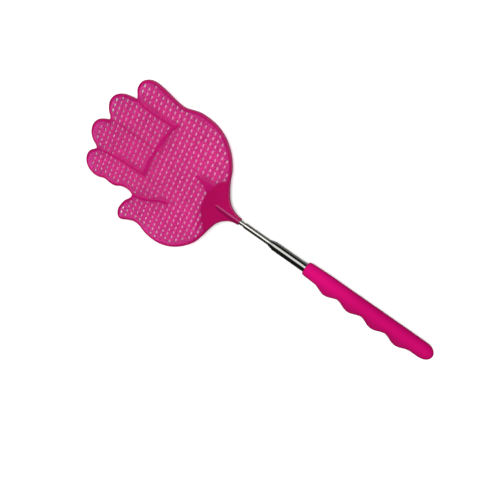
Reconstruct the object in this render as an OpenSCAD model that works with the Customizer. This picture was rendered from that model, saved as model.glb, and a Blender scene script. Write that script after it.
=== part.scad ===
/* [Hand] */
// Thickness of the open mesh
mesh_t = 1.4; // [1.2:0.1:1.8]
// Height of the rim, the creases and the wrist above the mesh
raised_h = 0.5; // [0.3:0.1:0.8]
// Distance between the middles of neighbouring mesh strands
mesh_pitch = 4; // [4:0.1:4.4]
// Width of a mesh hole, across the hand
hole_w = 2.5; // [2:0.1:2.6]
// Height of a mesh hole, along the hand
hole_l = 1.6; // [1.4:0.1:2]
// Width of the solid rim
rim_w = 2.3; // [2:0.1:2.8]
// Width of the solid bands between the fingers
finger_band_w = 2; // [1.6:0.1:2.6]
// Width of the solid bands across the palm
palm_band_w = 2.5; // [2:0.1:3]
// Width of the thin rib between the middle and the ring finger
thin_band_w = 1.3; // [1:0.1:1.6]

/* [Socket] */
// Depth to which the tip tube is pressed into the hand
socket_depth = 14; // [12:1:16]
// Radius of the socket boss at its mouth
boss_r = 2.5; // [2.4:0.1:2.8]
// Length of the boss, with its pointed nose
boss_l = 22; // [20:1:25]

/* [Tubes] */
// Outer diameter of the outer tube
outer_d = 6.4; // [6.2:0.1:7]
// Difference in diameter from one tube to the next
step_d = 0.8; // [0.8:0.01:0.84]
// Wall of every tube
wall = 0.25; // [0.24:0.01:0.26]
// Length of the outer tube
outer_l = 119; // [110:1:120]
// Stretch of each tube that shows when it is pushed home
tube_step = 1.6; // [1:0.1:2.4]
// Length by which the fourth tube is drawn out
fourth_out = 19.2; // [0:0.1:50]
// Length by which the tip tube is drawn out
tip_out = 3; // [0:0.1:50]

/* [Slide joints] */
// Length of the friction springs
spring_l = 5; // [4:0.5:6]
// Thickness of the friction springs
spring_t = 0.34; // [0.3:0.01:0.35]
// Thickness of the flange below the springs
flange_l = 0.8; // [0.6:0.1:1.2]
// Length of the spigot that is pressed into the tube above the springs
spigot_l = 2; // [1.5:0.5:3]
// Length of the rolled-in mouth of a tube
lip_l = 1; // [0.8:0.1:1.4]
// Radial clearance of the running fits
running_gap = 0.04; // [0.03:0.01:0.04]

/* [Grip] */
// Length of the grip
grip_l = 97.3; // [92:0.1:98]
// Radius of the grip's straight body
grip_r = 5.45; // [5.3:0.05:5.8]
// Height of the finger bulges above the straight body
bulge_h = 3.1; // [2:0.1:3.6]
// Distance between the bulges
bulge_pitch = 18.3; // [17:0.1:18.6]

/* [Hidden] */
$fn = 64;

// Everything is laid out from the mouth of the hand's socket: +Y runs along the shaft to the
// fingers, +X is away from the thumb, and the shaft's axis is at Z = 0. place() moves it from there
// to the middle of the part's footprint, with Z = 0 under the grip.
curve_steps = 4;

// The hand's edge, clockwise from the left of the socket round the thumb and the four fingers.
hand_points = [
    [-2.5, 0], [-3.1, 4.5], [-4.8, 8], [-7.5, 11.2], [-11, 14], [-16, 16.2], [-22, 18], [-28, 19.8],
    [-34, 22.3], [-40, 26.8], [-45.5, 32.5], [-49.5, 39], [-51.8, 46], [-52.3, 53], [-51.3, 60],
    [-49.2, 66], [-49.3, 71], [-51.8, 76.5], [-54.2, 81], [-54, 83.6], [-51.8, 85.4], [-48, 86.4],
    [-44, 85.8], [-39, 84], [-35, 81.2], [-32.3, 80.4], [-30.8, 82], [-30.2, 86.5], [-31.2, 91],
    [-33.8, 95.5], [-34.4, 100.5], [-34, 105.5], [-35.8, 110.5], [-36.2, 115.5], [-34.5, 121],
    [-31, 124.6], [-26, 126], [-21.5, 124.8], [-18.5, 121.8], [-16.8, 120.6], [-15.2, 122],
    [-12.6, 126.2], [-9, 128.9], [-4.5, 130], [0, 129.1], [3.6, 126.4], [6.2, 122], [7.6, 118.8],
    [9.4, 118.8], [12.4, 121.3], [16, 123.2], [20, 123.7], [24.5, 122.2], [28, 118.8],
    [30.3, 114], [31.4, 108.5], [32.2, 104.8], [34.2, 105.4], [38, 107.2], [41.5, 107.2],
    [45.3, 105.6], [48.2, 102], [49.6, 97], [49.2, 91], [48, 84], [46.6, 77], [46, 70.5],
    [47.4, 65], [49, 59], [49.2, 53], [48.2, 45], [45.2, 37], [40, 30], [34, 24.8], [27, 21],
    [20.5, 18.9], [14.5, 16.3], [8.6, 12.8], [5.1, 8.8], [3.2, 4.5], [2.5, 0]
];
// The upper edge of the solid wrist.
wrist_points = [
    [-30, 12], [-21, 20.3], [-15.5, 24.5], [-9.5, 28.3], [-4.7, 29.7], [0, 30], [7, 28.8],
    [14, 26.2], [18.3, 23], [20, 18], [24, 12]
];
// The solid bands: between the fingers, across the palm below them and round the thumb's root.
index_band = [[-16.6, 120.5], [-13.6, 100], [-12.3, 77.5]];
middle_band = [[8.6, 118.5], [8.7, 105], [8.7, 90], [8.7, 77]];
little_band = [[32, 104.5], [30.1, 92], [30.8, 71.8]];
knuckle_band = [[-12.3, 78], [0, 78], [9.5, 76.5], [19.6, 74.6], [28.5, 72], [33, 69.5]];
thumb_band = [[-31.4, 81], [-29.7, 73], [-27, 66.8], [-23, 60], [-20.3, 53.4]];
// The pointed rib that runs up from the wrist.
wrist_spike = [
    [2, 27], [5.2, 32], [8.1, 37], [9, 41.6], [9.8, 42.6], [10.6, 41.6], [10.9, 36], [12.5, 27]
];

// A centripetal Catmull-Rom curve through the points.
function pace(a, b) = sqrt(norm(b - a));
function slope(a, b, c, here) =
    here * ((b - a) / pace(a, b) - (c - a) / (pace(a, b) + pace(b, c)) + (c - b) / pace(b, c));
function between(a, b, c, d, t) =
    let (here = pace(b, c))
    let (leave = slope(a, b, c, here))
    let (arrive = slope(b, c, d, here))
    b * (2 * t ^ 3 - 3 * t ^ 2 + 1) + leave * (t ^ 3 - 2 * t ^ 2 + t)
        + c * (3 * t ^ 2 - 2 * t ^ 3) + arrive * (t ^ 3 - t ^ 2);
function stretch(a, b, c, d) = [for (s = [0 : curve_steps - 1]) between(a, b, c, d, s / curve_steps)];
// Straight at the socket's mouth, so the first and last points have no neighbour across it.
function open_curve(p) = [
    for (i = [0 : len(p) - 2])
        each stretch(
            i == 0 ? 2 * p[0] - p[1] : p[i - 1], p[i], p[i + 1],
            i == len(p) - 2 ? 2 * p[i + 1] - p[i] : p[i + 2]),
    p[len(p) - 1]
];

// Moves every point of a curve to its right by d, or to its left if d is negative.
function along(p, i) = p[min(i + 1, len(p) - 1)] - p[max(i - 1, 0)];
function beside(p, d) = [
    for (i = [0 : len(p) - 1])
        let (way = along(p, i) / norm(along(p, i)))
        p[i] + d * [way.y, -way.x]
];
function backwards(p) = [for (i = [len(p) - 1 : -1 : 0]) p[i]];

function crossed(p, a, b) =
    (a.y > p.y) != (b.y > p.y) && p.x < a.x + (b.x - a.x) * (p.y - a.y) / (b.y - a.y);
function crossings(p, shape) =
    [for (i = [0 : len(shape) - 1]) if (crossed(p, shape[i], shape[(i + 1) % len(shape)])) i];
function inside(p, shape) = len(crossings(p, shape)) % 2 == 1;

// The shapes of the hand
hand_edge = open_curve(hand_points);
rim_edge = beside(hand_edge, rim_w);
hole_margin = 0.4;
hole_limit = beside(hand_edge, rim_w + hole_margin);
wrist_edge = open_curve(wrist_points);
function band_shape(points, w) =
    let (middle = open_curve(points))
    concat(beside(middle, w / 2), backwards(beside(middle, -w / 2)));
bands = [
    band_shape(index_band, finger_band_w), band_shape(middle_band, thin_band_w),
    band_shape(little_band, finger_band_w), band_shape(knuckle_band, palm_band_w),
    band_shape(thumb_band, palm_band_w), wrist_spike
];
function is_open(p) = inside(p, hole_limit) && !inside(p, wrist_edge)
    && len([for (b = bands) if (inside(p, b)) 1]) == 0;
mesh_columns = 14;
lowest_row = 4;
highest_row = 33;
// The middle of the mesh hole in column 0 and row 0.
mesh_start = [2.7, -0.75];
hole_places = [
    for (column = [-mesh_columns : mesh_columns - 1])
        for (row = [lowest_row : highest_row])
            let (p = mesh_start + mesh_pitch * [column, row])
            if (is_open(p)) p
];
hand_low = -mesh_t / 2;

// The tubes, counted from the outer one. Each has a rolled-in mouth. Every tube but the outer one
// carries a foot: a flange, a neck inside the two springs, and a spigot pressed into the tube.
play = 0.05;
plug_l = 4;
foot_gap = 0.5;
home_gap = 1;
function tube_r(k) = (outer_d - (k - 1) * step_d) / 2;
function bore_r(k) = tube_r(k) - wall;
fourth_mouth = -home_gap - tip_out;
third_mouth = fourth_mouth - tube_step - fourth_out;
second_mouth = third_mouth - tube_step;
outer_mouth = second_mouth - tube_step;
outer_end = outer_mouth - outer_l;
joint_l = flange_l + spring_l + spigot_l + foot_gap;
second_foot = outer_end + plug_l + foot_gap;
third_foot = second_foot + joint_l;
fourth_foot = third_foot + joint_l + fourth_out;
tip_foot = fourth_foot + joint_l + tip_out;

// The grip
grip_top = -54.1;
grip_end = grip_top - grip_l;
grip_side = 0.1;
bulge_side = -2.6;
bulge_top = grip_r + bulge_h - grip_side + bulge_side;
first_bulge = -73.7;
bulge_half = bulge_pitch / 2;
bulge_arc = (bulge_half ^ 2 + bulge_h ^ 2) / (2 * bulge_h);

// From the socket's mouth to the part's own origin.
across = [for (p = hand_edge) p.x];
top = max([for (p = hand_edge) p.y]);
origin_x = (min(across) + max(across)) / 2;
origin_y = (top + grip_end) / 2;
axis_z = max(bulge_top, grip_r);

module place() {
    translate([-origin_x, -origin_y, axis_z])
        children();
}

// Turns a profile of [radius, place along the shaft] round the shaft's axis.
module turned(profile) {
    rotate([-90, 0, 0])
        rotate_extrude()
            polygon(profile);
}

module tube(k, low, high, mouth_r) {
    lip_low = high - lip_l;
    roll = tube_r(k) - mouth_r;
    turned([
        [bore_r(k), low], [tube_r(k), low], [tube_r(k), high - roll],
        for (a = [15 : 15 : 75]) [mouth_r + roll * cos(a), high - roll + roll * sin(a)],
        [mouth_r, high], [mouth_r, lip_low], [bore_r(k), lip_low - wall / 2]
    ]);
}

// A foot for tube k that runs in the tube around it.
module foot(k, low) {
    neck_r = bore_r(k) - running_gap;
    flange_r = bore_r(k - 1) - running_gap;
    shoulder = low + flange_l + spring_l;
    turned([
        [0, low], [flange_r, low], [flange_r, low + flange_l], [neck_r, low + flange_l],
        [neck_r, shoulder], [bore_r(k), shoulder], [bore_r(k), shoulder + spigot_l],
        [0, shoulder + spigot_l]
    ]);
}

// One of the two half-round springs round a foot's neck. side is 1 above and -1 below.
module spring(k, low, side) {
    outer = bore_r(k - 1) - running_gap;
    inner = outer - spring_t;
    spring_low = low + flange_l + play;
    spring_high = low + flange_l + spring_l - play;
    slit = 0.3;
    intersection() {
        turned([[inner, spring_low], [outer, spring_low], [outer, spring_high], [inner, spring_high]]);
        translate([-outer, spring_low - 1, side > 0 ? slit : -slit - outer])
            cube([2 * outer, spring_l + 2, outer]);
    }
}

module raised_shape() {
    difference() {
        polygon(hand_edge);
        polygon(rim_edge);
    }
    intersection() {
        polygon(hand_edge);
        union() {
            polygon(wrist_edge);
            for (b = bands)
                polygon(b);
        }
    }
}

module mesh_shape() {
    difference() {
        polygon(hand_edge);
        for (p = hole_places)
            translate(p)
                square([hole_w, hole_l], center = true);
    }
}

module boss() {
    edge = 0.3;
    swell = 0.1;
    swell_at = 4;
    waist = socket_depth + 1;
    nose_r = boss_r - 0.7;
    point_r = boss_r - 1.5;
    point_l = 1.5;
    turned([
        [0, 0], [boss_r - edge, 0], [boss_r, edge], [boss_r + swell, swell_at], [boss_r - swell, waist],
        [nose_r, (waist + boss_l - point_l) / 2], [point_r, boss_l - point_l], [0, boss_l]
    ]);
}

module hand() {
    color([0.82, 0.08, 0.45])
        place()
            difference() {
                union() {
                    translate([0, 0, hand_low])
                        linear_extrude(mesh_t)
                            mesh_shape();
                    translate([0, 0, hand_low])
                        linear_extrude(mesh_t + raised_h)
                            raised_shape();
                    boss();
                }
                turned([[0, -1], [tube_r(5), -1], [tube_r(5), socket_depth], [0, socket_depth]]);
            }
}

module tip_tube() {
    color("silver")
        place()
            turned([
                [bore_r(5), tip_foot + flange_l + spring_l], [tube_r(5), tip_foot + flange_l + spring_l],
                [tube_r(5), socket_depth], [bore_r(5), socket_depth]
            ]);
}

module fourth_tube() {
    color("silver")
        place()
            tube(4, fourth_foot + flange_l + spring_l, fourth_mouth, tube_r(5) + running_gap);
}

module third_tube() {
    color("silver")
        place()
            tube(3, third_foot + flange_l + spring_l, third_mouth, tube_r(4) + running_gap);
}

module second_tube() {
    color("silver")
        place()
            tube(2, second_foot + flange_l + spring_l, second_mouth, tube_r(3) + running_gap);
}

module outer_tube() {
    color("silver")
        place()
            tube(1, outer_end, outer_mouth, tube_r(2) + running_gap);
}

module second_tube_foot() {
    color("goldenrod")
        place()
            foot(2, second_foot);
}

module third_tube_foot() {
    color("goldenrod")
        place()
            foot(3, third_foot);
}

module fourth_tube_foot() {
    color("goldenrod")
        place()
            foot(4, fourth_foot);
}

module tip_tube_foot() {
    color("goldenrod")
        place()
            foot(5, tip_foot);
}

module second_spring(side) {
    color("peru")
        place()
            spring(2, second_foot, side);
}

module third_spring(side) {
    color("peru")
        place()
            spring(3, third_foot, side);
}

module fourth_spring(side) {
    color("peru")
        place()
            spring(4, fourth_foot, side);
}

module tip_spring(side) {
    color("peru")
        place()
            spring(5, tip_foot, side);
}

// Closes the outer tube's lower end, with a head as wide as the tube.
module base_plug() {
    color("dimgray")
        place()
            turned([
                [0, outer_end - 1], [tube_r(1), outer_end - 1], [tube_r(1), outer_end],
                [bore_r(1), outer_end], [bore_r(1), outer_end + plug_l], [0, outer_end + plug_l]
            ]);
}

// The straight body: a domed end, a body that grows a little above it, and a neck with a round edge.
module grip_body() {
    dome = 7;
    dome_r = 0.96 * grip_r;
    widest = 16;
    taper = 14;
    neck_l = 3;
    neck_r = grip_r - 0.5;
    edge = 0.7;
    translate([grip_side, 0, 0])
        turned([
            [0, grip_end],
            for (a = [15 : 15 : 90])
                [dome_r * sin(a), grip_end + dome * (1 - cos(a))],
            [grip_r, grip_end + widest], [grip_r, grip_top - taper], [neck_r, grip_top - neck_l],
            [neck_r, grip_top - edge], [neck_r - edge, grip_top], [0, grip_top]
        ]);
}

// One finger bulge: the arc of a large circle turned round an axis on the fingers' side.
module bulge(y) {
    half_angle = asin(bulge_half / bulge_arc);
    base = bulge_top - bulge_h;
    translate([bulge_side, 0, 0])
        turned([
            [0, y - bulge_half],
            for (a = [-half_angle : half_angle / 4 : half_angle + 0.01])
                [base + bulge_h - bulge_arc * (1 - cos(a)), y + bulge_arc * sin(a)],
            [0, y + bulge_half]
        ]);
}

module grip() {
    color([0.85, 0.02, 0.45])
        place()
            difference() {
                union() {
                    grip_body();
                    for (i = [0 : 3])
                        bulge(first_bulge - i * bulge_pitch);
                }
                turned([[0, outer_end - 1], [tube_r(1), outer_end - 1], [tube_r(1), 0], [0, 0]]);
            }
}

hand();
tip_tube();
fourth_tube();
third_tube();
second_tube();
outer_tube();
grip();
base_plug();
second_tube_foot();
third_tube_foot();
fourth_tube_foot();
tip_tube_foot();
second_spring(1);  // second_spring_upper
second_spring(-1);  // second_spring_lower
third_spring(1);  // third_spring_upper
third_spring(-1);  // third_spring_lower
fourth_spring(1);  // fourth_spring_upper
fourth_spring(-1);  // fourth_spring_lower
tip_spring(1);  // tip_spring_upper
tip_spring(-1);  // tip_spring_lower
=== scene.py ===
"""An extendable fly swatter: a moulded open-mesh hand, a polished telescopic shaft and a soft grip.

Shapes are laid out in millimetres from the mouth of the hand's socket: +Y runs along the shaft to the
fingers, +X is away from the thumb and the shaft's axis is at Z = 0. place() puts them in the frame.
"""

import math

import bmesh
import bpy
from mathutils import Matrix, Vector
from mathutils.kdtree import KDTree


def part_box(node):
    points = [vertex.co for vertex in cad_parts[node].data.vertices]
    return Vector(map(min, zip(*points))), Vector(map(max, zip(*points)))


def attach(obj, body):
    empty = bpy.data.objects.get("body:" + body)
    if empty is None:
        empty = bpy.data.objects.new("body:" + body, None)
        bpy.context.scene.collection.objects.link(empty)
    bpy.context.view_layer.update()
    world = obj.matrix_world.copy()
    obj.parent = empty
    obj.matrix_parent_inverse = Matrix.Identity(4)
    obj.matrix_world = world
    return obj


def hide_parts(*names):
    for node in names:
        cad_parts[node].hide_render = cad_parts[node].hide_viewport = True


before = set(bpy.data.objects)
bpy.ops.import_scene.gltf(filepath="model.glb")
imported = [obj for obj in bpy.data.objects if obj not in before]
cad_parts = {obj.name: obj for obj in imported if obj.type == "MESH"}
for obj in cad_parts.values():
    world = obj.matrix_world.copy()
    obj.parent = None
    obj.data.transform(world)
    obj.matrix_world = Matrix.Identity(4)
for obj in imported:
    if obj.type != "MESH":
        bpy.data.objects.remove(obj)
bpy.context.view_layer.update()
MM = 0.001

# ---------------------------------------------------------------- places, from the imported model
tip_low, tip_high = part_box("tip_tube")
hand_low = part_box("hand")[0]
grip_low, grip_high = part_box("grip")
SHAFT = Vector(((tip_low.x + tip_high.x) / 2, hand_low.y, (tip_low.z + tip_high.z) / 2))
PLACE = Matrix.Translation(SHAFT) @ Matrix.Scale(MM, 4)


def along_shaft(metres):
    """A place along the shaft, in millimetres from the socket's mouth."""
    return (metres - SHAFT.y) / MM


# ---------------------------------------------------------------- curves
CURVE_STEPS = 6
CAP_STEPS = 6


def catmull(points, steps):
    """A centripetal Catmull-Rom curve through the points."""
    p = [Vector(q) for q in points]
    ends = [2 * p[0] - p[1], *p, 2 * p[-1] - p[-2]]
    out = []
    for a, b, c, d in zip(ends, ends[1:], ends[2:], ends[3:]):
        before, here, after = (math.sqrt((v - u).length) for u, v in ((a, b), (b, c), (c, d)))
        leave = here * ((b - a) / before - (c - a) / (before + here) + (c - b) / here)
        arrive = here * ((c - b) / here - (d - b) / (here + after) + (d - c) / after)
        for s in range(steps):
            t = s / steps
            out.append(
                b * (2 * t**3 - 3 * t**2 + 1) + leave * (t**3 - 2 * t**2 + t)
                + c * (3 * t**2 - 2 * t**3) + arrive * (t**3 - t**2)
            )
    return [*out, p[-1]]


def beside(points, d):
    """The curve moved to its right by d, point by point."""
    out = []
    for i, p in enumerate(points):
        way = (points[min(i + 1, len(points) - 1)] - points[max(i - 1, 0)]).normalized()
        out.append(p + d * Vector((way.y, -way.x)))
    return out


def inside(p, shape):
    """True if the point is inside the closed outline."""
    odd = False
    for a, b in zip(shape, [*shape[1:], shape[0]]):
        if (a[1] > p[1]) != (b[1] > p[1]):
            odd ^= p[0] < a[0] + (b[0] - a[0]) * (p[1] - a[1]) / (b[1] - a[1])
    return odd


def band(points, width):
    """The outline of a band with round ends along a curve."""
    middle = catmull(points, CURVE_STEPS)
    right, left = beside(middle, width / 2), beside(middle, -width / 2)

    def cap(end, start_side):
        spoke = start_side - end
        turns = [Matrix.Rotation(-math.pi * k / CAP_STEPS, 2) for k in range(1, CAP_STEPS)]
        return [end + m @ spoke for m in turns]

    return [*left, *cap(middle[-1], left[-1]), *reversed(right), *cap(middle[0], right[0])]


# ---------------------------------------------------------------- meshes
SAME_POINT = 1e-4
ROUND = 96


def piece_from(mesh, name):
    """A new object from a mesh in millimetres, put in its place."""
    mesh.transform(PLACE)
    mesh.name = name
    obj = bpy.data.objects.new(name, mesh)
    bpy.context.scene.collection.objects.link(obj)
    return obj


def plate(outer, holes, low, high, edge):
    """A flat plate with round edges, as a mesh in millimetres."""
    curve = bpy.data.curves.new("plate", "CURVE")
    curve.dimensions = "2D"
    curve.fill_mode = "BOTH"
    curve.extrude = (high - low) / 2 - edge
    curve.bevel_depth = edge
    curve.bevel_resolution = 2
    curve.offset = -edge
    for ring in [outer, *holes]:
        spline = curve.splines.new("POLY")
        spline.points.add(len(ring) - 1)
        for point, q in zip(spline.points, ring):
            point.co = (q[0], q[1], 0, 1)
        spline.use_cyclic_u = True
    obj = bpy.data.objects.new("plate", curve)
    bpy.context.scene.collection.objects.link(obj)
    evaluated = obj.evaluated_get(bpy.context.evaluated_depsgraph_get())
    mesh = bpy.data.meshes.new_from_object(evaluated)
    bpy.data.objects.remove(obj)
    mesh.transform(Matrix.Translation((0, 0, (low + high) / 2)))
    return tidy(mesh)


def tidy(mesh):
    """Joins doubled points and turns every face outwards."""
    bm = bmesh.new()
    bm.from_mesh(mesh)
    bmesh.ops.remove_doubles(bm, verts=bm.verts, dist=SAME_POINT)
    bmesh.ops.recalc_face_normals(bm, faces=bm.faces)
    bm.to_mesh(mesh)
    bm.free()
    return mesh


def skin(rings, closed_along=False):
    """A mesh over rings of points of the same length. Open ends are closed with a point fan."""
    bm = bmesh.new()
    loops = [[bm.verts.new(p) for p in ring] for ring in rings]
    pairs = list(zip(loops, loops[1:]))
    if closed_along:
        pairs.append((loops[-1], loops[0]))
    for a, b in pairs:
        for i in range(len(a)):
            j = (i + 1) % len(a)
            bm.faces.new((a[i], a[j], b[j], b[i]))
    if not closed_along:
        for loop in (loops[0], loops[-1]):
            middle = bm.verts.new(sum((v.co for v in loop), Vector()) / len(loop))
            for i in range(len(loop)):
                bm.faces.new((loop[i], loop[(i + 1) % len(loop)], middle))
    mesh = bpy.data.meshes.new("skin")
    bm.to_mesh(mesh)
    bm.free()
    return tidy(mesh)


def ring_at(y, r, segments=ROUND):
    """A circle round the shaft's axis."""
    turn = [2 * math.pi * k / segments for k in range(segments)]
    return [Vector((r * math.cos(a), y, r * math.sin(a))) for a in turn]


def turned(profile, segments=ROUND, closed=False):
    """A profile of (radius, place along the shaft) turned round the shaft's axis."""
    return skin([ring_at(y, r, segments) for r, y in profile], closed_along=closed)


def union(meshes, name):
    """One solid from several that overlap."""
    base = piece_from(meshes[0], name)
    for mesh in meshes[1:]:
        other = piece_from(mesh, "other")
        cut = base.modifiers.new("join", "BOOLEAN")
        cut.operation = "UNION"
        cut.solver = "MANIFOLD"
        cut.object = other
        evaluated = base.evaluated_get(bpy.context.evaluated_depsgraph_get())
        joined = bpy.data.meshes.new_from_object(evaluated)
        base.modifiers.clear()
        base.data = joined
        bpy.data.objects.remove(other)
    base.data.name = name
    return base


def smooth(obj, degrees):
    """Smooth shading, with edges sharper than this kept."""
    obj.data.shade_smooth()
    obj.data.set_sharp_from_angle(angle=math.radians(degrees))


# ---------------------------------------------------------------- the hand
MESH_T, RAISED, PITCH, RIM_W = 1.4, 0.5, 4.0, 2.3
HOLE_WIDE, HOLE_HIGH, HOLE_CORNER, HOLE_MARGIN = 2.4, 1.5, 0.5, 0.4
FIRST_COLUMN, FIRST_ROW = 2.7, -0.75
COLUMNS, ROWS = range(-14, 14), range(4, 34)
FINGER_BAND_W, PALM_BAND_W, THIN_BAND_W = 2.0, 2.5, 1.3
MESH_EDGE, RIM_EDGE, BAND_EDGE = 0.32, 0.6, 0.5
NECK_END, WRIST_START, BOSS_END = 14, 20, 23
# The last two values paint shade: the third darkens the hand's outer edge walls, the fourth the boss,
# as painted shade and deeper plastic.
RIM_AT, WRIST_AT, EDGE_SHADE_AT, BOSS_DEPTH_AND_SHADE_AT = 0.5, 0.8, 0.9, 1.0
LOW = -MESH_T / 2
TOP = LOW + MESH_T
RAISED_TOP = TOP + RAISED
HAND_POINTS = [
    (-2.5, 0), (-3.1, 4.5), (-4.8, 8), (-7.5, 11.2), (-11, 14), (-16, 16.2), (-22, 18), (-28, 19.8),
    (-34, 22.3), (-40, 26.8), (-45.5, 32.5), (-49.5, 39), (-51.8, 46), (-52.3, 53), (-51.3, 60),
    (-49.2, 66), (-49.3, 71), (-51.8, 76.5), (-54.2, 81), (-54, 83.6), (-51.8, 85.4), (-48, 86.4),
    (-44, 85.8), (-39, 84), (-35, 81.2), (-32.3, 80.4), (-30.8, 82), (-30.2, 86.5), (-31.2, 91),
    (-33.8, 95.5), (-34.4, 100.5), (-34, 105.5), (-35.8, 110.5), (-36.2, 115.5), (-34.5, 121),
    (-31, 124.6), (-26, 126), (-21.5, 124.8), (-18.5, 121.8), (-16.8, 120.6), (-15.2, 122),
    (-12.6, 126.2), (-9, 128.9), (-4.5, 130), (0, 129.1), (3.6, 126.4), (6.2, 122), (7.6, 118.8),
    (9.4, 118.8), (12.4, 121.3), (16, 123.2), (20, 123.7), (24.5, 122.2), (28, 118.8),
    (30.3, 114), (31.4, 108.5), (32.2, 104.8), (34.2, 105.4), (38, 107.2), (41.5, 107.2),
    (45.3, 105.6), (48.2, 102), (49.6, 97), (49.2, 91), (48, 84), (46.6, 77), (46, 70.5),
    (47.4, 65), (49, 59), (49.2, 53), (48.2, 45), (45.2, 37), (40, 30), (34, 24.8), (27, 21),
    (20.5, 18.9), (14.5, 16.3), (8.6, 12.8), (5.1, 8.8), (3.2, 4.5), (2.5, 0),
]
WRIST_POINTS = [
    (-21, 20.3), (-15.5, 24.5), (-9.5, 28.3), (-4.7, 29.7), (0, 30), (7, 28.8), (14, 26.2),
    (18.3, 23), (20, 20),
]
BANDS = [
    (FINGER_BAND_W, [(-16.4, 119), (-13.6, 100), (-12.3, 77.5)]),
    (THIN_BAND_W, [(8.6, 117.5), (8.7, 105), (8.7, 90), (8.7, 77)]),
    (FINGER_BAND_W, [(31.8, 103.5), (30.1, 92), (30.8, 71.8)]),
    (PALM_BAND_W, [(-12.3, 78), (0, 78), (9.5, 76.5), (19.6, 74.6), (28.5, 72), (33, 69.5)]),
    (PALM_BAND_W, [(-31.2, 79.5), (-29.7, 73), (-27, 66.8), (-23, 60), (-20.3, 53.4)]),
]
SPIKE_POINTS = [
    (2, 27), (5.2, 32), (8.1, 37), (9, 41.6), (9.8, 42.6), (10.6, 41.6), (10.9, 36), (12.5, 27),
]


def hole_outline(x, y):
    """The outline of a mesh hole, with round corners."""
    corner = HOLE_CORNER
    out = []
    for k in range(4):
        turn = math.pi / 2 * k
        cx = (HOLE_WIDE / 2 - corner) * (1 if k in (0, 3) else -1)
        cy = (HOLE_HIGH / 2 - corner) * (1 if k in (0, 1) else -1)
        for s in range(4):
            a = turn + math.pi / 2 * s / 3
            out.append((x + cx + corner * math.cos(a), y + cy + corner * math.sin(a)))
    return out


def make_hand():
    """The hand as one moulding: the open mesh, then the rim, the wrist and the creases above it."""
    edge = beside(catmull(HAND_POINTS, CURVE_STEPS), 0.01)
    limit = beside(edge, RIM_W + HOLE_MARGIN)
    bands = [*[band(points, width) for width, points in BANDS], [Vector(p) for p in SPIKE_POINTS]]
    wrist_edge = catmull(WRIST_POINTS, CURVE_STEPS)
    inner = beside(edge, 1.0)
    below = [p for p in inner if p.y < WRIST_START]
    left = [p for p in below if WRIST_POINTS[0][0] < p.x < 0]
    right = [p for p in below if 0 < p.x < WRIST_POINTS[-1][0]]
    wrist = [*left, *wrist_edge, *right]
    holes = []
    for column in COLUMNS:
        for row in ROWS:
            p = (FIRST_COLUMN + PITCH * column, FIRST_ROW + PITCH * row)
            if inside(p, limit) and not inside(p, wrist) and not any(inside(p, b) for b in bands):
                holes.append(hole_outline(*p))
    rim_inner = [p for p in beside(edge, RIM_W) if p.y > 13]
    parts = [
        plate(edge, holes, LOW, TOP, MESH_EDGE),
        plate(edge, [rim_inner], LOW, RAISED_TOP, RIM_EDGE),
        plate(wrist, [], LOW, RAISED_TOP, BAND_EDGE),
        *[plate(b, [], LOW, RAISED_TOP, BAND_EDGE) for b in bands],
        wrist_mound(),
        boss(),
    ]
    obj = union(parts, "hand_moulding")
    smooth(obj, 35)
    write_depth_and_shade(obj.data, edge, wrist)
    return obj


def write_depth_and_shade(mesh, edge, wrist):
    """Stores a value at each point that picks the plastic's colour: 0 in the open mesh and 1 at the
    boss. The rim and the wrist lie between; the walls along the outer edge and the boss get painted
    shade, the boss also for its deeper plastic.
    """
    values = mesh.attributes.new("depth_and_shade", "FLOAT", "POINT")
    outline = KDTree(len(edge))
    for i, p in enumerate(edge):
        outline.insert((p.x, p.y, 0), i)
    outline.balance()
    back = PLACE.inverted()
    for vertex, value in zip(mesh.vertices, values.data):
        p = back @ vertex.co
        off_edge = outline.find((p.x, p.y, 0))[2]
        # Painted shade: the boss takes the darkest colour, for its shaded flanks and its deeper
        # plastic.
        if p.y < BOSS_END and (p.z > RAISED_TOP + 0.45 or p.z < LOW - 0.1):
            value.value = BOSS_DEPTH_AND_SHADE_AT
        # Painted shade: a dark outline on the walls along the hand's outer edge.
        elif off_edge < 0.65 and p.z > 0.3:
            value.value = EDGE_SHADE_AT
        elif p.y < NECK_END or inside(p, wrist):
            value.value = WRIST_AT
        elif p.z > TOP + 0.05:
            value.value = RIM_AT


def wrist_mound():
    """The swelling of the wrist towards the socket."""
    rows = [(0.6, 2.3, 1.0), (4, 2.8, 1.25), (8, 4.4, 1.45), (11, 6.8, 1.55), (14, 9.6, 1.6),
            (17, 12.4, 1.55), (20, 14.5, 1.45), (23, 15, 1.3), (26, 13, 1.15)]
    steps = 32
    rings = []
    for y, wide, high in catmull(rows, 4):
        ring = []
        for k in range(steps + 1):
            a = math.pi * k / steps
            ring.append(Vector((wide * math.cos(a), y, max(high * math.sin(a), -0.2))))
        ring.append(Vector((-wide, y, -0.4)))
        ring.append(Vector((wide, y, -0.4)))
        rings.append(ring)
    return skin(rings)


def boss():
    """The socket's round boss with its pointed nose."""
    profile = [(0.3, 0), (2.25, 0), (2.42, 0.08), (2.5, 0.3), (2.58, 4), (2.5, 10), (2.35, 14.5),
               (2.05, 17.5), (1.65, 20), (1.1, 22), (0.5, 23), (0.1, 23.2)]
    return turned([*profile[:3], *[tuple(p) for p in catmull(profile[3:], 4)]], segments=64)


hand = make_hand()
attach(hand, "tip_section")
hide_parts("hand")

# ---------------------------------------------------------------- the shaft
TUBE_WALL, RUNNING_GAP, MOUTH_L, MOUTH_ROUND = 0.25, 0.04, 1.0, 0.36


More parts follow.
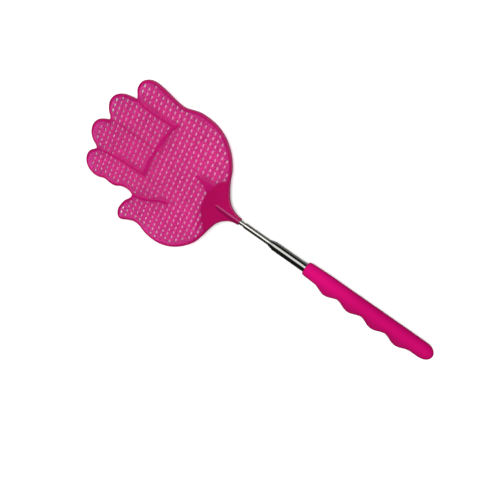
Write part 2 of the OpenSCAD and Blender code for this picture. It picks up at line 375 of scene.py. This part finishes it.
def make_tube(node, body, within):
    """A polished tube with a rolled-in mouth round the tube it carries."""
    low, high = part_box(node)
    r = (high.x - low.x) / 2 / MM
    start, end = along_shaft(low.y), along_shaft(high.y)
    profile = [(r - TUBE_WALL, start), (r, start)]
    if within:
        inner_low, inner_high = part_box(within)
        mouth = (inner_high.x - inner_low.x) / 2 / MM + RUNNING_GAP
        rounding = min(r - mouth, MOUTH_ROUND)
        corner = [math.radians(a) for a in range(0, 91, 15)]
        profile += [(r - rounding + rounding * math.cos(a), end - rounding + rounding * math.sin(a))
                    for a in corner]
        profile += [(mouth + 0.01, end - 0.02), (mouth, end - 0.1), (mouth, end - MOUTH_L),
                    (r - TUBE_WALL, end - MOUTH_L - 0.15)]
    else:
        profile += [(r, end), (r - TUBE_WALL, end)]
    obj = piece_from(turned(profile, closed=True), node + "_polished")
    smooth(obj, 30)
    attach(obj, body)
    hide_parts(node)
    return obj


tubes = {}
for node, body, within in (
    ("outer_tube", "handle", "second_tube"),
    ("second_tube", "second_section", "third_tube"),
    ("third_tube", "third_section", "fourth_tube"),
    ("fourth_tube", "fourth_section", "tip_tube"),
    ("tip_tube", "tip_section", None),
):
    tubes[node] = make_tube(node, body, within)

# ---------------------------------------------------------------- the grip
GRIP_TOP, GRIP_END = along_shaft(grip_high.y), along_shaft(grip_low.y)
BULGES, BULGE_PITCH, FIRST_BULGE, BULGE_H = 4, 18.3, -73.9, 3.25
GRIP_R, GRIP_SIDE, GRIP_BORE = 5.4, 0.1, 3.22
DOME_L, DOME_POWER = 7.5, 2.2
TAPER_L, TAPER = 14, 0.55
LIP_L, LIP = 1.6, 0.9


def grip_radius(y):
    """The radius of the grip's straight back at a place along it."""
    down, up = y - GRIP_END, GRIP_TOP - y
    r = GRIP_R
    if down < DOME_L:
        r *= math.sqrt(max(0.0, 1 - ((DOME_L - down) / DOME_L) ** DOME_POWER))
    if up < TAPER_L:
        r -= TAPER * (1 - up / TAPER_L) ** 1.5
    if up < LIP_L:
        r -= LIP - math.sqrt(max(0.0, LIP**2 - (LIP * (1 - up / LIP_L)) ** 2))
    return r


def bulge_height(y):
    """How far the finger bulges stand out at a place along the grip."""
    last = FIRST_BULGE - (BULGES - 1) * BULGE_PITCH
    if y > FIRST_BULGE + BULGE_PITCH / 2 or y < last - BULGE_PITCH / 2:
        return 0.0
    return BULGE_H * (0.5 + 0.5 * math.cos(2 * math.pi * (y - FIRST_BULGE) / BULGE_PITCH)) ** 0.8


def grip_ring(y):
    """The grip's outline at a place along it, round but for the finger bulge on one side."""
    r, bulge = grip_radius(y), bulge_height(y)
    ring = []
    for k in range(ROUND):
        a = 2 * math.pi * k / ROUND
        lobe = max(0.0, -math.cos(a)) ** 1.4
        reach = r + bulge * lobe
        high = r * math.sin(a) * (1 + 0.02 * bulge)
        ring.append(Vector((GRIP_SIDE + reach * math.cos(a), y, high)))
    return ring


def make_grip():
    """The grip's sleeve, with rows close together at its dome and at its lip."""
    dome, body, lip = 14, 150, 8
    start, stop = GRIP_END + DOME_L, GRIP_TOP - LIP_L
    rows = [GRIP_END + DOME_L * (1 - math.cos(math.pi / 2 * k / dome)) for k in range(1, dome + 1)]
    rows += [start + (stop - start) * k / body for k in range(1, body + 1)]
    rows += [stop + LIP_L * math.sin(math.pi / 2 * k / lip) for k in range(1, lip + 1)]
    rings = [grip_ring(y) for y in rows]
    chamfer = 0.25
    bottom = along_shaft(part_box("base_plug")[0].y)
    rings += [ring_at(GRIP_TOP, GRIP_BORE + chamfer), ring_at(GRIP_TOP - chamfer, GRIP_BORE),
              ring_at(bottom, GRIP_BORE)]
    obj = piece_from(skin(rings), "grip_sleeve")
    smooth(obj, 50)
    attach(obj, "handle")
    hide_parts("grip")
    return obj


grip = make_grip()


# ---------------------------------------------------------------- materials
MESH_COLOUR = (0.67, 0.062, 0.34)
RIM_COLOUR = (0.42, 0.003, 0.125)
WRIST_COLOUR = (0.31, 0.0004, 0.066)
# Painted shade and deeper plastic: the boss's darker colour.
BOSS_DEEP_AND_SHADED_COLOUR = (0.2, 0.0004, 0.05)
SHADOW_TINT = (0.9, 0.1, 0.5)
SPECULAR_TINT = (1.0, 0.5, 0.8)
# Each pair is the open mesh's value and the solid wrist's.
ROUGHNESS = (0.26, 0.2)
SPECULAR = (0.8, 1.5)
TRANSMISSION = (0.84, 0.0)
SHADOW_PASS = (0.42, 0.0)
# The grip's colour is lighter towards its top and darker towards its end: painted light falloff along
# its length.
GRIP_SHADED_END, GRIP_LIT_TOP = (0.355, 0.0003, 0.086), (0.43, 0.001, 0.11)
GRIP_FALLOFF_FROM, GRIP_FALLOFF_TO = -98, -66


def new_material(name):
    """A material, with its nodes, its links and its shader."""
    material = bpy.data.materials.new(name)
    material.use_nodes = True
    nodes = material.node_tree.nodes
    return material, nodes, material.node_tree.links, nodes["Principled BSDF"]


def noise(nodes, links, coords, scale, detail):
    tex = nodes.new("ShaderNodeTexNoise")
    tex.inputs["Scale"].default_value = scale
    tex.inputs["Detail"].default_value = detail
    links.new(coords, tex.inputs["Vector"])
    return tex.outputs["Fac"]


def spread(nodes, links, value, low, high):
    """Maps 0.3..0.7 of a noise to low..high."""
    change = nodes.new("ShaderNodeMapRange")
    change.inputs["From Min"].default_value = 0.3
    change.inputs["From Max"].default_value = 0.7
    change.inputs["To Min"].default_value = low
    change.inputs["To Max"].default_value = high
    links.new(value, change.inputs["Value"])
    return change.outputs["Result"]


def mix_colours(nodes, links, value, a, b):
    mix = nodes.new("ShaderNodeMix")
    mix.data_type = "RGBA"
    mix.inputs["A"].default_value = (*a, 1)
    mix.inputs["B"].default_value = (*b, 1)
    links.new(value, mix.inputs["Factor"])
    return mix.outputs["Result"]


def bump(nodes, links, height, distance, strength):
    node = nodes.new("ShaderNodeBump")
    node.inputs["Distance"].default_value = distance
    node.inputs["Strength"].default_value = strength
    links.new(height, node.inputs["Height"])
    return node.outputs["Normal"]


def by_thickness(nodes, links, depth_and_shade, ends):
    """A value that goes from the open mesh's to the solid wrist's."""
    change = nodes.new("ShaderNodeMapRange")
    change.inputs["From Max"].default_value = WRIST_AT
    change.inputs["To Min"].default_value = ends[0]
    change.inputs["To Max"].default_value = ends[1]
    links.new(depth_and_shade.outputs["Fac"], change.inputs["Value"])
    return change.outputs["Result"]


def hand_plastic():
    """Glossy moulded plastic that lets light through where it is thin."""
    material, nodes, links, shader = new_material("moulded_magenta_plastic")
    coords = nodes.new("ShaderNodeTexCoord").outputs["Object"]
    depth_and_shade = nodes.new("ShaderNodeAttribute")
    depth_and_shade.attribute_name = "depth_and_shade"
    # Past the wrist's colour the ramp is painted shade, for the edge walls and the boss.
    ramp = nodes.new("ShaderNodeValToRGB")
    ramp.color_ramp.elements[0].color = (*MESH_COLOUR, 1)
    ramp.color_ramp.elements[1].color = (*BOSS_DEEP_AND_SHADED_COLOUR, 1)
    ramp.color_ramp.elements.new(WRIST_AT).color = (*WRIST_COLOUR, 1)
    ramp.color_ramp.elements.new(RIM_AT).color = (*RIM_COLOUR, 1)
    links.new(depth_and_shade.outputs["Fac"], ramp.inputs["Fac"])
    tone_and_shade = nodes.new("ShaderNodeMix")
    tone_and_shade.data_type = "RGBA"
    tone_and_shade.blend_type = "MULTIPLY"
    tone_and_shade.inputs["Factor"].default_value = 1.0
    links.new(ramp.outputs["Color"], tone_and_shade.inputs["A"])
    tone = spread(nodes, links, noise(nodes, links, coords, 60, 3), 0.93, 1.05)
    links.new(tone, tone_and_shade.inputs["B"])
    links.new(tone_and_shade.outputs["Result"], shader.inputs["Base Color"])
    gloss = nodes.new("ShaderNodeMath")
    gloss.operation = "MULTIPLY"
    links.new(spread(nodes, links, noise(nodes, links, coords, 900, 4), 0.85, 1.15), gloss.inputs[0])
    links.new(by_thickness(nodes, links, depth_and_shade, ROUGHNESS), gloss.inputs[1])
    links.new(gloss.outputs["Value"], shader.inputs["Roughness"])
    links.new(bump(nodes, links, noise(nodes, links, coords, 1600, 3), 0.00003, 0.3),
              shader.inputs["Normal"])
    links.new(by_thickness(nodes, links, depth_and_shade, TRANSMISSION), shader.inputs["Transmission Weight"])
    shader.inputs["IOR"].default_value = 1.5
    links.new(by_thickness(nodes, links, depth_and_shade, SPECULAR), shader.inputs["Specular IOR Level"])
    shader.inputs["Specular Tint"].default_value = (*SPECULAR_TINT, 1)
    passed = by_thickness(nodes, links, depth_and_shade, SHADOW_PASS)
    tint = nodes.new("ShaderNodeBsdfTransparent")
    links.new(mix_colours(nodes, links, passed, (0, 0, 0), SHADOW_TINT), tint.inputs["Color"])
    path = nodes.new("ShaderNodeLightPath")
    both = nodes.new("ShaderNodeMixShader")
    links.new(path.outputs["Is Shadow Ray"], both.inputs["Fac"])
    links.new(shader.outputs["BSDF"], both.inputs[1])
    links.new(tint.outputs["BSDF"], both.inputs[2])
    links.new(both.outputs["Shader"], nodes["Material Output"].inputs["Surface"])
    return material


def grip_rubber():
    """Matt soft-touch rubber with a fine grain."""
    material, nodes, links, shader = new_material("soft_magenta_rubber")
    coords = nodes.new("ShaderNodeTexCoord").outputs["Object"]
    split = nodes.new("ShaderNodeSeparateXYZ")
    links.new(coords, split.inputs["Vector"])
    # Painted light falloff: the colour is lighter towards the grip's top and darker towards its end,
    # with a random tone on it.
    along = nodes.new("ShaderNodeMapRange")
    along.inputs["From Min"].default_value = SHAFT.y + GRIP_FALLOFF_FROM * MM
    along.inputs["From Max"].default_value = SHAFT.y + GRIP_FALLOFF_TO * MM
    links.new(split.outputs["Y"], along.inputs["Value"])
    tone_and_shade = nodes.new("ShaderNodeMath")
    tone_and_shade.operation = "MULTIPLY"
    tone_and_shade.use_clamp = True
    links.new(spread(nodes, links, noise(nodes, links, coords, 45, 2), 0.8, 1.1), tone_and_shade.inputs[0])
    links.new(along.outputs["Result"], tone_and_shade.inputs[1])
    links.new(mix_colours(nodes, links, tone_and_shade.outputs["Value"], GRIP_SHADED_END, GRIP_LIT_TOP),
              shader.inputs["Base Color"])
    links.new(spread(nodes, links, noise(nodes, links, coords, 700, 4), 0.5, 0.66),
              shader.inputs["Roughness"])
    links.new(bump(nodes, links, noise(nodes, links, coords, 2600, 2), 0.00005, 0.6),
              shader.inputs["Normal"])
    shader.inputs["IOR"].default_value = 1.4
    shader.inputs["Specular IOR Level"].default_value = 0.12
    return material


def steel(name, dull, bright, low, high):
    """Steel with faint drawing lines along the tube."""
    material, nodes, links, shader = new_material(name)
    coords = nodes.new("ShaderNodeTexCoord").outputs["Object"]
    stretch = nodes.new("ShaderNodeMapping")
    stretch.inputs["Scale"].default_value = (1, 0.03, 1)
    links.new(coords, stretch.inputs["Vector"])
    lines = noise(nodes, links, stretch.outputs["Vector"], 6000, 2)
    smear = noise(nodes, links, coords, 160, 4)
    shader.inputs["Metallic"].default_value = 1.0
    links.new(mix_colours(nodes, links, smear, dull, bright), shader.inputs["Base Color"])
    links.new(spread(nodes, links, smear, low, high), shader.inputs["Roughness"])
    links.new(bump(nodes, links, lines, 0.000004, 0.25), shader.inputs["Normal"])
    return material


def plain_metal(name, a, b, low, high):
    material, nodes, links, shader = new_material(name)
    coords = nodes.new("ShaderNodeTexCoord").outputs["Object"]
    patch = noise(nodes, links, coords, 500, 4)
    shader.inputs["Metallic"].default_value = 1.0
    links.new(mix_colours(nodes, links, patch, a, b), shader.inputs["Base Color"])
    links.new(spread(nodes, links, patch, low, high), shader.inputs["Roughness"])
    return material


def plug_plastic():
    material, nodes, links, shader = new_material("black_plastic")
    coords = nodes.new("ShaderNodeTexCoord").outputs["Object"]
    patch = noise(nodes, links, coords, 400, 3)
    links.new(mix_colours(nodes, links, patch, (0.02, 0.02, 0.02), (0.035, 0.035, 0.035)),
              shader.inputs["Base Color"])
    links.new(spread(nodes, links, patch, 0.45, 0.6), shader.inputs["Roughness"])
    return material


def wear(obj, material):
    obj.data.materials.clear()
    obj.data.materials.append(material)


polished = steel("polished_steel", (0.54, 0.535, 0.51), (0.60, 0.595, 0.57), 0.05, 0.13)
# A lit copy of the steel, much lighter: it paints brighter highlights on the two thin tubes.
bright = steel("lit_copy_steel", (0.88, 0.87, 0.81), (0.95, 0.94, 0.88), 0.2, 0.27)
brass = plain_metal("turned_brass", (0.72, 0.52, 0.24), (0.80, 0.60, 0.30), 0.2, 0.35)
bronze = plain_metal("phosphor_bronze", (0.66, 0.38, 0.22), (0.74, 0.46, 0.28), 0.25, 0.4)
wear(hand, hand_plastic())
wear(grip, grip_rubber())
for name, tube in tubes.items():
    # The two thin tubes wear the lit copy of the steel, a painted highlight.
    wear(tube, bright if name in ("tip_tube", "fourth_tube") else polished)
for name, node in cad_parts.items():
    if name.endswith("_foot"):
        wear(node, brass)
    elif "_spring_" in name:
        wear(node, bronze)
    elif name == "base_plug":
        wear(node, plug_plastic())


# ---------------------------------------------------------------- camera
def make_camera():
    """A catalogue picture's viewing angle: high over the hand's right side, rolled on its axis."""
    data = bpy.data.cameras.new("camera")
    data.lens, data.sensor_width = 41.37, 36.0
    data.clip_start = 0.01
    camera = bpy.data.objects.new("camera", data)
    bpy.context.scene.collection.objects.link(camera)
    right = Vector((0.4426, -0.8027, -0.3997)).normalized()
    back = Vector((0.4621, -0.1779, 0.8688))
    back = (back - back.dot(right) * right).normalized()
    spot = SHAFT + Vector((0.16793, -0.08530, 0.34030))
    axes = Matrix((right, back.cross(right), back)).transposed().to_4x4()
    camera.matrix_world = Matrix.Translation(spot) @ axes
    bpy.context.scene.camera = camera


make_camera()


# ---------------------------------------------------------------- studio
FILL, UNDER_FILL = 0.5, 0.2
ROOM_DARK, ROOM_FLOOR = 0.012, 0.2
BOX_AT, BOX_HALF, BOX_SOFT, BOX_GLOW = 62.0, 24.0, 3.0, 1.2
KEY_AT, KEY_SIZE, KEY_WATTS = (0.5, -0.08, 1.1), 1.1, 22.0
FLOOR_GLOW_FROM, FLOOR_GLOW_TO, FLOOR_GLOW = 0.35, 1.3, 0.6


def make_floor():
    """White paper that glows a little where it is far away, so that it stays white in low views."""
    size = 12.0
    mesh = bpy.data.meshes.new("floor")
    mesh.from_pydata([(-size, -size, 0), (size, -size, 0), (size, size, 0), (-size, size, 0)], [],
                     [(0, 1, 2, 3)])
    floor = bpy.data.objects.new("floor", mesh)
    bpy.context.scene.collection.objects.link(floor)
    material, nodes, links, shader = new_material("white_paper")
    coords = nodes.new("ShaderNodeTexCoord").outputs["Object"]
    grain = noise(nodes, links, coords, 300, 3)
    links.new(mix_colours(nodes, links, grain, (0.95, 0.95, 0.95), (0.98, 0.98, 0.98)),
              shader.inputs["Base Color"])
    far = nodes.new("ShaderNodeVectorMath")
    far.operation = "LENGTH"
    links.new(coords, far.inputs[0])
    lift = nodes.new("ShaderNodeMapRange")
    lift.inputs["From Min"].default_value = FLOOR_GLOW_FROM
    lift.inputs["From Max"].default_value = FLOOR_GLOW_TO
    lift.inputs["To Max"].default_value = FLOOR_GLOW
    links.new(far.outputs["Value"], lift.inputs["Value"])
    links.new(lift.outputs["Result"], shader.inputs["Emission Strength"])
    shader.inputs["Emission Color"].default_value = (1, 1, 1, 1)
    material.cycles.emission_sampling = "NONE"
    shader.inputs["Roughness"].default_value = 0.9
    shader.inputs["Specular IOR Level"].default_value = 0.0
    floor.visible_glossy = floor.visible_diffuse = False
    wear(floor, material)


def make_key():
    """One large soft light, which polished surfaces don't see."""
    data = bpy.data.lights.new("key", "AREA")
    data.shape = "RECTANGLE"
    data.size = data.size_y = KEY_SIZE
    data.energy = KEY_WATTS
    key = bpy.data.objects.new("key", data)
    bpy.context.scene.collection.objects.link(key)
    key.location = KEY_AT
    key.rotation_mode = "QUATERNION"
    key.rotation_quaternion = (-Vector(KEY_AT)).to_track_quat("-Z", "Y")
    key.visible_glossy = False


def make_world():
    """A pale room. Polished surfaces see it dark, with one long soft box and a grey floor."""
    world = bpy.data.worlds.new("studio")
    bpy.context.scene.world = world
    world.use_nodes = True
    nodes, links = world.node_tree.nodes, world.node_tree.links

    def step(value, low, high, at_low, at_high):
        change = nodes.new("ShaderNodeMapRange")
        change.inputs["From Min"].default_value = low
        change.inputs["From Max"].default_value = high
        change.inputs["To Min"].default_value = at_low
        change.inputs["To Max"].default_value = at_high
        links.new(value, change.inputs["Value"])
        return change.outputs["Result"]

    def math_node(operation, a, b=None):
        node = nodes.new("ShaderNodeMath")
        node.operation = operation
        for socket, value in zip(node.inputs, (a, b)):
            if isinstance(value, float):
                socket.default_value = value
            elif value is not None:
                links.new(value, socket)
        return node.outputs["Value"]

    split = nodes.new("ShaderNodeSeparateXYZ")
    links.new(nodes.new("ShaderNodeTexCoord").outputs["Generated"], split.inputs["Vector"])
    turn = math_node("ARCTAN2", split.outputs["Z"], split.outputs["X"])
    off_centre = math_node("ABSOLUTE", math_node("SUBTRACT", turn, math.radians(BOX_AT)))
    box_from, box_to = math.radians(BOX_HALF - BOX_SOFT), math.radians(BOX_HALF + BOX_SOFT)
    box = step(off_centre, box_from, box_to, BOX_GLOW, 0.0)
    below = step(split.outputs["Z"], -0.45, -0.15, ROOM_FLOOR, ROOM_DARK)
    polished = math_node("MAXIMUM", box, below)
    path = nodes.new("ShaderNodeLightPath")
    strength = step(split.outputs["Z"], -0.1, 0.1, UNDER_FILL, FILL)
    for ray, value in (("Is Glossy Ray", polished), ("Is Camera Ray", 1.0)):
        mix = nodes.new("ShaderNodeMix")
        links.new(path.outputs[ray], mix.inputs["Factor"])
        for socket, v in (("A", strength), ("B", value)):
            if isinstance(v, float):
                mix.inputs[socket].default_value = v
            else:
                links.new(v, mix.inputs[socket])
        strength = mix.outputs["Result"]
    links.new(strength, nodes["Background"].inputs["Strength"])
    nodes["Background"].inputs["Color"].default_value = (1, 1, 1, 1)


make_floor()
make_world()
make_key()
bpy.context.scene.view_settings.view_transform = "Standard"
